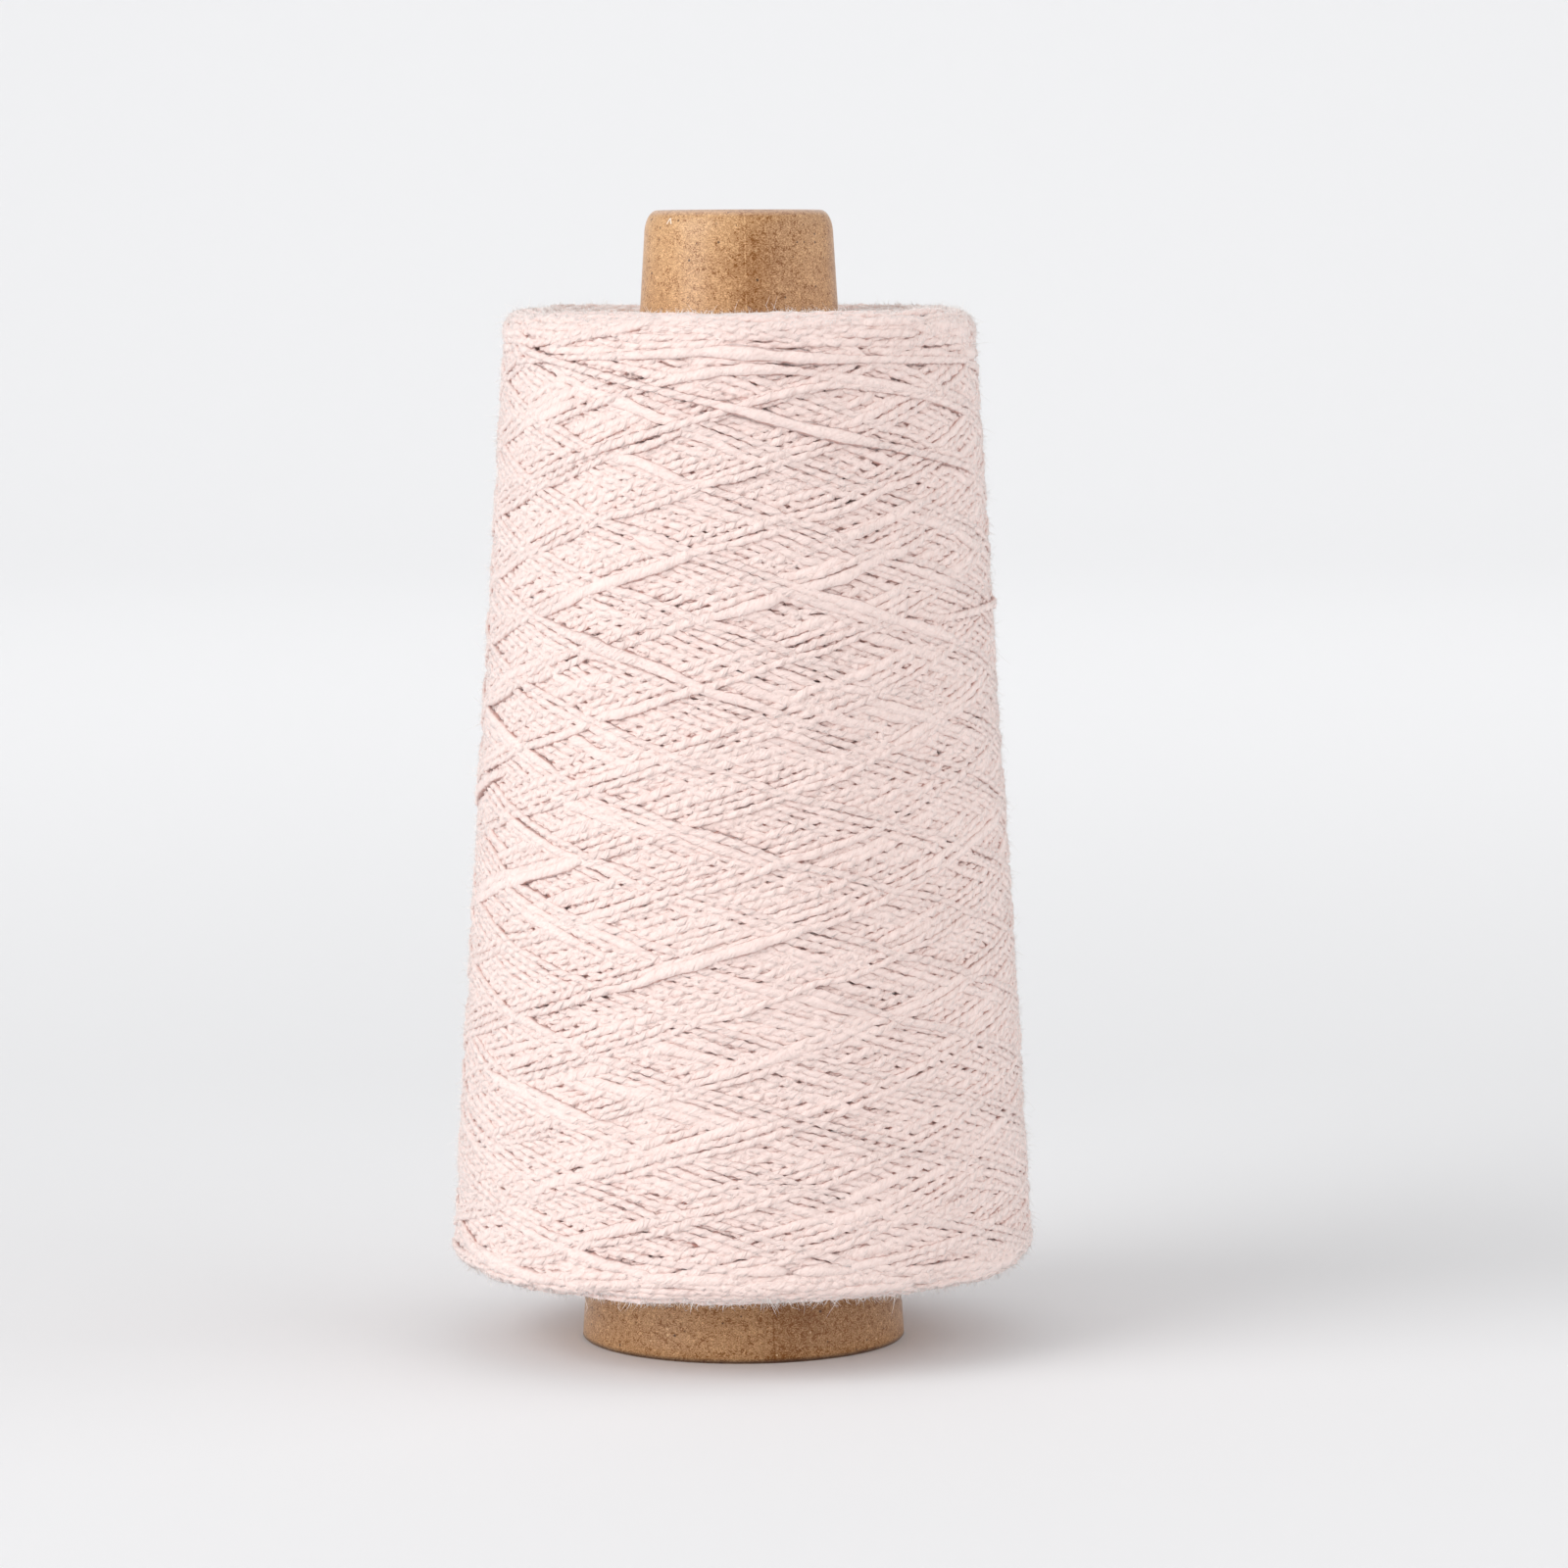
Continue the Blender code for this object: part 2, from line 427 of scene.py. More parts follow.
class Yarn:
    """A supply of two-ply yarn with slubs, drawn off stretch by stretch."""

    def __init__(self, settings, length):
        generator = np.random.default_rng(settings.seed)
        count = int(length / YARN_STEP) + 1
        self.drawn = 0.0
        self.length = np.arange(count) * YARN_STEP
        self.slub = np.zeros(count)
        start = 0.0
        while start < length:
            start += generator.exponential(settings.slub_spacing)
            size = generator.uniform(0.3, 1.0) * settings.slub_length
            swell = generator.uniform(0.25, 1.0) ** 1.2
            first, last = int(start / YARN_STEP), min(count, int((start + size) / YARN_STEP))
            if last > first:
                turn = math.pi * (np.arange(last - first) + 0.5) / (last - first)
                puff = swell * np.sin(turn) ** 0.8
                self.slub[first:last] = np.maximum(self.slub[first:last], puff)
            start += size
        waves = (7 * MM, 25 * MM, 4 * MM, 1.8 * MM, 30 * MM, 6 * MM)
        short, long, lumps, tufts, slack, quiver = (
            drift(generator, length, wave, YARN_STEP)[:count] for wave in waves
        )
        plain = settings.strand_width / 2
        self.radius = plain * (1 + 0.09 * tufts + 0.07 * short + 0.06 * long)
        self.radius += plain * settings.slub_swell * self.slub * (1 + 0.22 * lumps + 0.12 * tufts)
        pitch = settings.ply_pitch * (1 + 0.11 * (slack + quiver))
        self.twist = np.cumsum(WHOLE_TURN * YARN_STEP / (pitch * (1 + 0.9 * self.slub)))

    def seek_slub(self, distance):
        """Winds the supply on until a thick slub lies this far ahead."""
        ahead = self.length > self.drawn + distance
        thick = self.length[ahead][np.argmax(self.slub[ahead] > 0.75)]
        self.drawn = thick - distance

    def draw(self, distances):
        """Takes the next stretch off the supply: its radius, twist and slub at each distance."""
        length = self.drawn + distances
        self.drawn = length[-1]
        values = [np.interp(length, self.length, v) for v in (self.radius, self.twist, self.slub)]
        return (length, *values)


# --- Winding ---

UNDER_OFFSETS = np.linspace(-0.75, 0.75, 7)
OVER_OFFSETS = np.linspace(-1.0, 1.0, 9)
SHORT_BELL = bell(MM, LAY_STEP)
SLIDE_BELL = bell(1.6 * MM, LAY_STEP)
LEVEL_BELL = bell(5 * MM, LAY_STEP)


class Strand:
    """One laid stretch of yarn: where it runs, how thick it is and how high it lies."""

    def __init__(self, package, yarn, angle, along):
        self.package, self.angle, self.along = package, angle, along
        steps = np.hypot(np.gradient(angle) * package.at(package.radii, along), np.gradient(along))
        self.length, self.radius, self.twist, self.slub = yarn.draw(np.cumsum(steps) - steps[0])
        self.pressed = PRESSED + (SLUB_PRESSED - PRESSED) * self.slub
        self.height = None  # until it rests on what is below

    def across(self, offsets, slide=0.0):
        """The map's cells across the strand, a row for each offset, given in radii."""
        by_angle, by_along = self.package.sideways(self.angle, self.along)
        aside = offsets[:, None] * self.radius + slide
        return self.package.cells(self.angle + by_angle * aside, self.along + by_along * aside)

    def bulge(self, offsets):
        """How high its surface is over its middle line, at offsets given in radii."""
        return np.sqrt(1 - offsets**2)[:, None] * self.radius * self.pressed

    def lift(self, slide=0.0):
        """How high its middle line has to lie to clear what is below it, place by place."""
        under = self.package.grown[self.across(UNDER_OFFSETS, slide)]
        return (under + self.bulge(UNDER_OFFSETS)).max(0)

    def settle(self):
        """Slides the strand sideways into the lowest groove near its path."""
        lifts = [smoothed(self.lift(s), SHORT_BELL) + SLIDE_COST * abs(s) for s in SLIDES]
        weights = np.exp((np.min(lifts, 0) - np.array(lifts)) / GROOVE_CHOICE)
        slide = smoothed((weights * SLIDES[:, None]).sum(0) / weights.sum(0), SLIDE_BELL)
        by_angle, by_along = self.package.sideways(self.angle, self.along)
        self.angle = self.angle + by_angle * slide
        self.along = self.along + by_along * slide

    def rest(self):
        """Lowers the strand on what is below it. Its tension evens out steep climbs."""
        lift = smoothed(widest(self.lift(), 3), SHORT_BELL) - SINK
        under = self.package.grown[self.package.cells(self.angle, self.along)]
        level = smoothed(under, LEVEL_BELL) + USUAL_RISE
        self.height = level + LEVEL_RANGE * np.tanh((lift - level) / LEVEL_RANGE)

    def stamp(self):
        """Adds the strand to the map of heights."""
        grown = self.package.grown
        tops = (self.height + self.bulge(OVER_OFFSETS)).astype(np.float32)
        for column, row, top in zip(*self.across(OVER_OFFSETS), tops):
            grown[column, row] = np.maximum(grown[column, row], top)

    def shown_runs(self, every):
        """First and last places of each stretch that isn't covered."""
        cells = self.across(OVER_OFFSETS[1:-1])
        tops = self.height + self.bulge(OVER_OFFSETS[1:-1])
        shown = (tops > self.package.grown[cells] - 0.03 * MM).sum(0) > 1
        low, high = self.package.rows[0] + 0.3 * MM, self.package.rows[-1] - 0.3 * MM
        shown &= (self.along > low) & (self.along < high)
        shown &= np.convolve(shown, np.ones(3), "same") >= 2
        wide = np.convolve(shown, np.ones(5), "same") > 0
        edges = np.flatnonzero(np.diff(np.concatenate([[0], wide.astype(int), [0]])))
        return [(a, b) for a, b in edges.reshape(-1, 2) if b - a >= 4 * every]


def end_turns(package, yarn, generator):
    """The turns that show on the two end faces: each rises to the face and dips again."""
    strands = []
    bottom = np.arange(package.first + 0.5 * MM, YARN_LOW.z + 5 * MM, END_RING_SPACING)
    top = np.arange(YARN_HIGH.z - 6.5 * MM, package.last - 0.5 * MM, END_RING_SPACING)
    for along in (*bottom, *top):
        turn_step = LAY_STEP / package.at(package.radii, along)
        turn = np.arange(-END_TURN_REACH, END_TURN_REACH, turn_step)
        start = generator.uniform(0, WHOLE_TURN)
        for i in range(END_TURNS):
            middle = start + WHOLE_TURN * i / END_TURNS + generator.normal(0, 0.05)
            slant = generator.normal(0, 0.5 * MM)
            path = along + generator.normal(0, 0.12 * MM) + slant * turn
            strand = Strand(package, yarn, middle + turn, path)
            strand.height = generator.normal(-END_SINK, 0.17 * MM) - END_DIVE * turn**2
            strands.append(strand)
    return strands


def stroke_path(number, start, turns, turnings, low, high):
    """Angle and height of one stroke, climbing if its number is even, rounded where it turns."""
    total = WHOLE_TURN * turns
    turned = np.linspace(0, total, int(total * STROKE_RADIUS / LAY_STEP))
    slope = (high - low) / total
    climbed = turned if number % 2 == 0 else total - turned
    left = total - climbed
    height = low + slope * climbed
    at_low, at_high = (turnings[number], turnings[number + 1])
    if number % 2:
        at_low, at_high = at_high, at_low
    height += np.where(climbed < at_low, slope * at_low / 2 * (1 - climbed / at_low) ** 2, 0)
    height -= np.where(left < at_high, slope * at_high / 2 * (1 - left / at_high) ** 2, 0)
    return start + turned, height


def side_strokes(package, yarn, settings, generator):
    """Strokes of the strand up and down the side, laid one after another."""
    low, high = settings.traverse_low, settings.traverse_high
    count = 2 * settings.lattice_starts * settings.rounds
    turns = settings.stroke_turns
    last_climb = -(settings.newest_climb - low) / ((high - low) / (WHOLE_TURN * turns))
    turnings = TURNING + generator.normal(0, 0.10, count + 1)
    early = generator.random(count + 1) < EARLY_SHARE
    turnings += early * generator.uniform(0.2, 0.9, count + 1)
    # A stroke strays as a whole, in long waves of its own, in waves that all the strokes share,
    # and in short bends.
    shift = generator.normal(0, settings.stray / 2, count)
    phases = generator.uniform(0, WHOLE_TURN, 12)
    waves = generator.uniform(14 * MM, 160 * MM, 12) / WAVE_RADIUS
    rounds = generator.integers(1, 6, 8)
    climbs = generator.uniform(-1, 1, 8) * WHOLE_TURN / (60 * MM)
    offsets = generator.uniform(0, WHOLE_TURN, 8)
    strands = []
    for number in range(count):
        start = last_climb - (count - 2 - number) * WHOLE_TURN * turns
        angle, height = stroke_path(number, start, turns, turnings, low, high)
        own = sum(np.sin(WHOLE_TURN * angle / w + p) for w, p in zip(waves, phases))
        common = sum(
            np.sin(a * angle + b * height + p) for a, b, p in zip(rounds, climbs, offsets)
        )
        wander, kinks = (
            drift(generator, len(angle) * LAY_STEP, wave, LAY_STEP)[: len(angle)]
            for wave in (9 * MM, 2.6 * MM)
        )
        height = height + settings.stray * (0.2 * own + 0.7 * common + 0.35 * wander + 0.3 * kinks)
        strand = Strand(package, yarn, angle, height + shift[number])
        strand.settle()
        strand.rest()
        strand.stamp()
        strands.append(strand)
    return strands


def level_strands(package, strands):
    """Lowers the laid strands so that the crests of the newest ones meet the package's surface.

    Where the strands turn round they pile up unevenly, and there their heights are pressed closer.
    """
    even = (package.rows > EVEN_FROM) & (package.rows < EVEN_TO)
    levels = []
    for share in (CREST_SHARE, TROUGH_SHARE):
        level = np.percentile(package.grown, share, axis=0)
        level = np.interp(package.rows, package.rows[even], level[even])
        levels.append(smoothed(level, bell(1.8 * MM, MAP_ROW)))
    crest, trough = levels
    squeeze = np.minimum(1, np.median((crest - trough)[even]) / (crest - trough))
    half = strands[0].radius.mean()
    for strand in strands:
        over = strand.height + half - package.at(crest, strand.along)
        strand.height = RELIEF * over * package.at(squeeze, strand.along) - half


def late_turns(package, yarn):
    """The few turns laid over the rest, whose ends dive under their neighbours."""
    strands = []
    for slub_at, sunk, places in LATE_TURNS:
        degrees, heights = np.array(places, float).T
        angles = np.radians(degrees)
        sweep = angles[-1] - angles[0]
        count = int(abs(sweep) * LATE_RADIUS / LAY_STEP)
        share = np.linspace(0, 1, count)
        along = np.interp(share, (angles - angles[0]) / sweep, heights * MM)
        along = smoothed(along, bell(3 * MM, LAY_STEP))
        yarn.seek_slub(slub_at * MM)
        strand = Strand(package, yarn, angles[0] + sweep * share, along)
        strand.rest()
        from_end = np.minimum(np.arange(count), np.arange(count)[::-1]) * LAY_STEP
        dive = LATE_DIVE * np.clip(1 - from_end / LATE_DIVE_LENGTH, 0, 1) ** 2
        strand.height -= sunk * MM + dive
        strand.stamp()
        strands.append(strand)
    return strands


def wind(settings):
    """The package with its finished map of heights, and the strands of its end faces and side."""
    package = Package()
    generator = np.random.default_rng(settings.seed + 1)
    length = STROKE_LENGTH * settings.lattice_starts * 2 * settings.rounds + SPARE_LENGTH
    yarn = Yarn(settings, length)
    ends = end_turns(package, yarn, generator)
    sides = side_strokes(package, yarn, settings, generator)
    level_strands(package, sides)
    package.clear(-3 * MM)
    for strand in ends + sides:
        strand.stamp()
    sides += late_turns(package, yarn)
    package.find_crests()
    return package, ends, sides


# --- Meshes of the strands, of the shell under them and of loose fibres ---


class StrandMesh:
    """Collects tubes of yarn and makes them one mesh."""

    def __init__(self):
        self.points, self.quads, self.ends, self.values = [], [], [], []
        self.uvs, self.end_uvs = [], []
        self.count = 0

    def add(self, strand, every):
        """Adds each stretch of the strand that shows, with a ring at every so many laid steps."""
        for first, last in strand.shown_runs(every):
            self.add_tube(strand, np.arange(first, last, every))

    def add_tube(self, strand, picks):
        way = (strand.angle[picks], strand.along[picks], strand.height[picks])
        middle, normal = strand.package.place(*way)
        ahead = unit(np.gradient(middle, axis=0))
        side = unit(np.cross(normal, ahead))
        normal = np.cross(ahead, side)
        twist, slub = strand.twist[picks, None], strand.slub[picks, None]
        turn = np.broadcast_to(RING, (len(picks), len(RING)))
        ridge = PLY_RIDGE * (1 - 0.7 * slub)
        taper = np.ones((len(picks), 1))
        taper[[0, -1]], taper[[1, -2]] = 0.3, 0.75
        out = SOFT_WIDTH * strand.radius[picks, None] * (1 + ridge * np.cos(2 * (turn + twist)))
        out = out * taper
        rings = middle[:, None] + (out * np.cos(turn) * SPREAD)[..., None] * side[:, None]
        above = out * np.sin(turn) * strand.pressed[picks, None]
        rings = rings + above[..., None] * normal[:, None]
        count, sides = out.shape
        grid = self.count + np.arange(count * sides).reshape(count, sides)
        beside = np.roll(grid, -1, axis=1)
        quads = np.stack([grid[:-1], beside[:-1], beside[1:], grid[1:]], -1)
        around = np.append(RING, RING[0] + WHOLE_TURN) / WHOLE_TURN
        length = strand.length[picks]
        u = np.stack([around[:-1], around[1:], around[1:], around[:-1]], -1)
        v = np.stack([length[:-1], length[:-1], length[1:], length[1:]], -1)[:, None]
        end_uv = np.stack([around[:-1], np.zeros(sides)], -1)
        hollow = self.depths(strand, picks, out, turn)
        values = np.broadcast_arrays(hollow, slub, twist / WHOLE_TURN)
        self.points.append(rings.reshape(-1, 3))
        self.quads.append(quads.reshape(-1, 4))
        self.ends.append(np.stack([grid[0][::-1], grid[-1]]))
        self.uvs.append(np.stack(np.broadcast_arrays(u, v), -1).reshape(-1, 2))
        self.end_uvs += [end_uv, end_uv]
        self.values.append(np.stack([numbers.ravel() for numbers in values]))
        self.count += count * sides

    def depths(self, strand, picks, out, turn):
        """How much painted shade a point gets: how far it lies under the crests around it, 0 on a
        crest to 1 in a crevice.
        """
        package = strand.package
        by_angle, by_along = package.sideways(strand.angle, strand.along)
        aside = out * np.cos(turn)
        angle = strand.angle[picks, None] + by_angle[picks, None] * aside
        along = strand.along[picks, None] + by_along[picks, None] * aside
        height = strand.pressed[picks, None] * out * np.sin(turn)
        own = np.clip(0.6 - height / (0.8 * MM), 0, 1)
        crest = package.crests[package.cells(angle, along)]
        under = np.clip((crest - (strand.height[picks, None] + height)) / (0.9 * MM), 0, 1)
        # Light reaches in from the open ends of the winding.
        ends = [YARN_LOW.z, YARN_LOW.z + 9 * MM, YARN_HIGH.z - 4 * MM, YARN_HIGH.z]
        return own * under * np.interp(along, ends, [0.2, 1, 1, 0.2])

    def make(self, name):
        hollow, slub, twist = np.concatenate(self.values, axis=1)
        lists = (self.points, self.quads, self.ends, self.uvs + self.end_uvs)
        arrays = [np.concatenate(parts) for parts in lists]
        return mesh_object(name, *arrays, {"hollow": hollow, "slub": slub, "twist": twist})


def bed_piece(package):
    """A closed shell just under the strands, so that gaps between them show no hollow inside."""
    edges = np.linspace(0, len(package.rows), BED_ROWS + 1).astype(int)
    blocks = package.grown.reshape(BED_COLUMNS, MAP_COLUMNS // BED_COLUMNS, -1)
    low = [np.percentile(blocks[:, :, a:b], 5, axis=(1, 2)) for a, b in zip(edges, edges[1:])]
    low = np.maximum(np.stack(low, 1) - 0.1 * MM, -BED_DEEPEST)
    low = (np.roll(low, 1, 0) + 2 * low + np.roll(low, -1, 0)) / 4
    padded = np.pad(low, ((0, 0), (1, 1)), "edge")
    low = (padded[:, :-2] + 2 * low + padded[:, 2:]) / 4
    angle = (np.arange(BED_COLUMNS) + 0.5) * WHOLE_TURN / BED_COLUMNS
    along = package.first + (edges[:-1] + edges[1:]) / 2 * MAP_ROW
    angle, along = np.broadcast_arrays(angle[:, None], along)
    outer, _ = package.place(angle, along, low)
    inner, _ = package.place(angle, along, low - BED_WALL)
    points = np.concatenate([outer, inner[:, ::-1]], 1)
    grid = np.arange(points.size // 3).reshape(points.shape[:2])
    right, up = np.roll(grid, -1, 0), np.roll(grid, -1, 1)
    quads = np.stack([grid, right, np.roll(right, -1, 1), up], -1).reshape(-1, 4)
    points = points.reshape(-1, 3)
    # The shell gets half the painted crevice shade all over.
    values = {"hollow": np.full(len(points), 0.5), "slub": np.ones(len(points))}
    no_ends = np.zeros((0, 4), int)
    return mesh_object("strands_below", points, quads, no_ends, np.zeros((quads.size, 2)), values)


def turned_about(vectors, axes, angles):
    """Vectors turned about unit axes, all by their own angles."""
    cosine, sine = np.cos(angles)[:, None], np.sin(angles)[:, None]
    along = (vectors * axes).sum(1, keepdims=True) * axes
    return vectors * cosine + np.cross(axes, vectors) * sine + along * (1 - cosine)


def fibre_mesh(generator, roots, headings, lengths, curl, width, segments):
    """Thin curled fibres of three sides, run out to a point, as points, quads and triangles."""
    count = len(roots)
    axes = unit(generator.normal(size=(count, 3)))
    bends = generator.normal(0, curl, count)
    middles, heads = [roots], [headings]
    for _ in range(segments):
        turn = bends + generator.normal(0, 0.35 * curl, count)
        roots = roots + headings * (lengths / segments)[:, None]
        headings = unit(turned_about(headings, axes, turn))
        middles.append(roots)
        heads.append(headings)
    tips = middles.pop()
    middles, heads = np.stack(middles, 1), np.stack(heads[:-1], 1)
    side = unit(np.cross(heads, axes[:, None] + 0.01))
    over = np.cross(heads, side)
    taper = width / 2 * np.linspace(1, 0.6, segments)[None, :, None]
    rings = []
    for corner in np.radians([90, 210, 330]):
        rings.append(middles + taper * (math.cos(corner) * side + math.sin(corner) * over))
    rings = np.stack(rings, 2)
    grid = np.arange(rings.size // 3).reshape(rings.shape[:3])
    beside = np.roll(grid, -1, axis=2)
    quads = np.stack([grid[:, :-1], beside[:, :-1], beside[:, 1:], grid[:, 1:]], -1)
    tip = np.broadcast_to(grid.size + np.arange(count)[:, None], (count, 3))
    points_of_tips = np.stack([grid[:, -1], beside[:, -1], tip], -1).reshape(-1, 3)
    triangles = np.concatenate([grid[:, 0, ::-1], points_of_tips])
    return np.concatenate([rings.reshape(-1, 3), tips]), quads.reshape(-1, 4), triangles


def fibres_from(package, generator, angle, along, rise):
    """Roots and headings of fibres that lie in chance directions and rise by a chance amount."""
    level = package.grown[package.cells(angle, along)]
    roots, normals = package.place(angle, along, level - 0.1 * MM)
    lying = unit(np.cross(normals, generator.normal(size=normals.shape)))
    rise = generator.uniform(*rise, len(roots))[:, None]
    return roots, unit(lying + rise * normals)


def standing_places(package, generator, count):
    """Chance places on the strands that stand out, as angle and along, more at the flanks."""
    angle = generator.uniform(0, WHOLE_TURN, 2 * count)
    flank = math.pi / 2 + generator.normal(0, 0.2, count)
    flank *= np.where(generator.random(count) < 0.5, 1, -1)
    angle = generator.permutation(np.concatenate([angle, flank]))
    along = generator.uniform(package.first + MM, package.last - MM, count * 3)
    cells = package.cells(angle, along)
    high = package.crests[cells] - package.grown[cells] < 0.35 * MM
    return angle[high][:count], along[high][:count]


def fuzz_places(package, generator, fuzz):
    """Where each kind of fibre grows, as angle and along."""
    places = {}
    places["side"] = standing_places(package, generator, fuzz)
    places["loose"] = standing_places(package, generator, fuzz // 25)
    count = fuzz // 6
    angle = generator.uniform(0, WHOLE_TURN, count)
    places["bottom"] = angle, YARN_LOW.z + generator.uniform(-4.5, 1, count) * MM
    count = fuzz // 17
    angle = generator.normal(0.4, 0.7, count)
    places["top"] = angle, package.last - generator.uniform(0.2, 5, count) * MM
    count = fuzz // 7
    angle = generator.uniform(0, WHOLE_TURN, count)
    places["rim"] = angle, package.last - generator.uniform(13, 21, count) * MM
    return places


# --- Materials ---


class Nodes:
    """A short way to write a material's nodes and links."""

    def __init__(self, name, finish):
        self.material = bpy.data.materials.new(name)
        self.material.use_nodes = True
        self.tree = self.material.node_tree
        self.shader = self.tree.nodes["Principled BSDF"]
        for socket, value in finish.items():
            self.shader.inputs[socket].default_value = value

    def add(self, kind, inputs=None, **settings):
        node = self.tree.nodes.new("ShaderNode" + kind)
        for key, value in settings.items():
            setattr(node, key, value)
        for key, value in (inputs or {}).items():
            self.set(node.inputs[key], value)
        return node

    def set(self, socket, value):
        if isinstance(value, NodeSocket):
            self.tree.links.new(value, socket)
        else:
            socket.default_value = value

    def attribute(self, name):
        return self.add("Attribute", attribute_name=name).outputs["Fac"]

    def noise(self, place, scale, detail=0.0, output="Fac", **more):
        inputs = {"Vector": place, "Scale": scale, "Detail": detail, **more}
        return self.add("TexNoise", inputs).outputs[output]

    def vector(self, operation, first, second):
        return self.add("VectorMath", {0: first, 1: second}, operation=operation).outputs[0]

    def math(self, operation, *values, clamp=False):
        node = self.add("Math", dict(enumerate(values)), operation=operation, use_clamp=clamp)
        return node.outputs[0]

    def minus(self, first, second):
        return self.math("SUBTRACT", first, second)

    def times(self, first, second):
        return self.math("MULTIPLY", first, second)

    def plus(self, base, value, part, clamp=False):
        """A base and a part of a value."""
        return self.math("MULTIPLY_ADD", value, part, base, clamp=clamp)

    def off(self, first, second):
        """How far apart two values are."""
        return self.math("ABSOLUTE", self.minus(first, second))

    def spread(self, value, low, high, to_low=0.0, to_high=1.0):
        inputs = {"Value": value, "From Min": low, "From Max": high}
        inputs.update({"To Min": to_low, "To Max": to_high})
        return self.add("MapRange", inputs).outputs[0]

    def mix(self, share, first, second):
        """A colour between two, each a socket or its red, green and blue."""
        colours = [c if isinstance(c, NodeSocket) else (*c, 1) for c in (first, second)]
        inputs = {0: share, 6: colours[0], 7: colours[1]}
        return self.add("Mix", inputs, data_type="RGBA").outputs[2]

    def finish(self, colour, height, strength, depth):
        """Links the colour and the bump to the shader."""
        bump = self.add("Bump", {"Strength": strength, "Distance": depth, "Height": height})
        self.set(self.shader.inputs["Base Color"], colour)
        self.set(self.shader.inputs["Normal"], bump.outputs[0])
        return self.material


COTTON_FINISH = {
    "Roughness": 0.95,
    "Specular IOR Level": 0.15,
    "Sheen Weight": 0.65,
    "Sheen Roughness": 0.45,
}
FIBRE_FINISH = {**COTTON_FINISH, "Base Color": (1.0, 0.96, 0.94, 1)}
KRAFT_FINISH = {
    "Roughness": 0.42,
    "Specular IOR Level": 0.35,
    "Sheen Weight": 0.1,
    "Sheen Roughness": 0.25,
    "Coat Weight": 0.18,
    "Coat Roughness": 0.22,
}
SWEEP_FINISH = {"Roughness": 0.9, "Specular IOR Level": 0.1}


def cotton_material(settings):
    """Two-ply cotton: fibres laid along the twist, ply grooves and deep crevices, both with painted
    shade.
    """
    nodes = Nodes("slub_cotton", COTTON_FINISH)
    place = nodes.add("TexCoord").outputs["Object"]
    slub = nodes.attribute("slub")

    # Painted shade in the crevices between strands, deeper in some places than in others.
    broken = nodes.spread(nodes.noise(place, 520.0, 1.0), 0.38, 0.6, 0.5, 1.1)
    hollow = nodes.times(nodes.attribute("hollow"), 2.9)
    hollow = nodes.times(nodes.math("POWER", hollow, 1.8, clamp=True), broken)

    # Fibres run along the plies, which turn round the strand. A slub has hardly any groove.
    uv = nodes.add("SeparateXYZ", {"Vector": nodes.add("UVMap", uv_map="Strand").outputs[0]})
    twisted = nodes.math("ADD", uv.outputs[0], nodes.attribute("twist"))
    laid = {"X": nodes.times(twisted, 13.0), "Y": nodes.times(uv.outputs[1], 900.0)}
    laid = nodes.add("CombineXYZ", laid).outputs[0]
    fibres = nodes.noise(laid, 1.0, 4.0)
    twisted = nodes.plus(twisted, nodes.noise(laid, 0.35), 0.2)
    lobes = nodes.math("ABSOLUTE", nodes.math("COSINE", nodes.times(twisted, WHOLE_TURN)))
    groove = nodes.math("POWER", nodes.minus(1.0, lobes), 1.3)
    groove = nodes.times(groove, nodes.spread(slub, 0.1, 0.9, 1.0, 0.25))

    # The share of the crevice colour: painted shade in the crevices and, a little, in the ply
    # grooves, with the fibres' own tone.
    share = nodes.plus(hollow, nodes.minus(0.5, fibres), 0.8)
    share = nodes.plus(share, groove, 0.15, clamp=True)
    height = nodes.plus(nodes.times(groove, -1.0), fibres, 1.6)
    height = nodes.plus(height, nodes.noise(place, 2600.0, 1.0), 0.3)
    height = nodes.plus(height, nodes.times(fibres, slub), 1.2)
    colour = nodes.mix(share, settings.colour, settings.crevice_shade_colour)
    return nodes.finish(colour, height, 1.0, 0.15 * MM)


def kraft_tone(nodes, place, height):
    """How pale the board is: clouds, a close grain, and short curly fibres, pale and dark."""
    lain = nodes.vector("MULTIPLY", place, (1.0, 1.0, 1.5))
    warp = nodes.noise(place, 900.0, 1.0, output="Color")
    bent = nodes.vector("ADD", lain, nodes.vector("MULTIPLY", warp, (1.2 * MM,) * 3))
    # Darker at the foot than at the nose.
    tone = nodes.spread(height, 0.02, 0.15, 0.17, 0.3)
    tone = nodes.plus(tone, nodes.noise(lain, 120.0, 3.0), 0.45)
    tone = nodes.plus(tone, nodes.minus(nodes.noise(lain, 3900.0, 2.0, Roughness=0.7), 0.5), 1.8)
    for scale, part in ((2100.0, 0.3), (1500.0, -0.5)):
        line = nodes.off(nodes.noise(bent, scale, Distortion=0.7), 0.5)
        line = nodes.spread(line, 0.0, 0.1, 1.0, 0.0)
        shown = nodes.spread(nodes.noise(place, 0.7 * scale), 0.5, 0.6)
        tone = nodes.plus(tone, nodes.times(line, shown), part)
    return tone


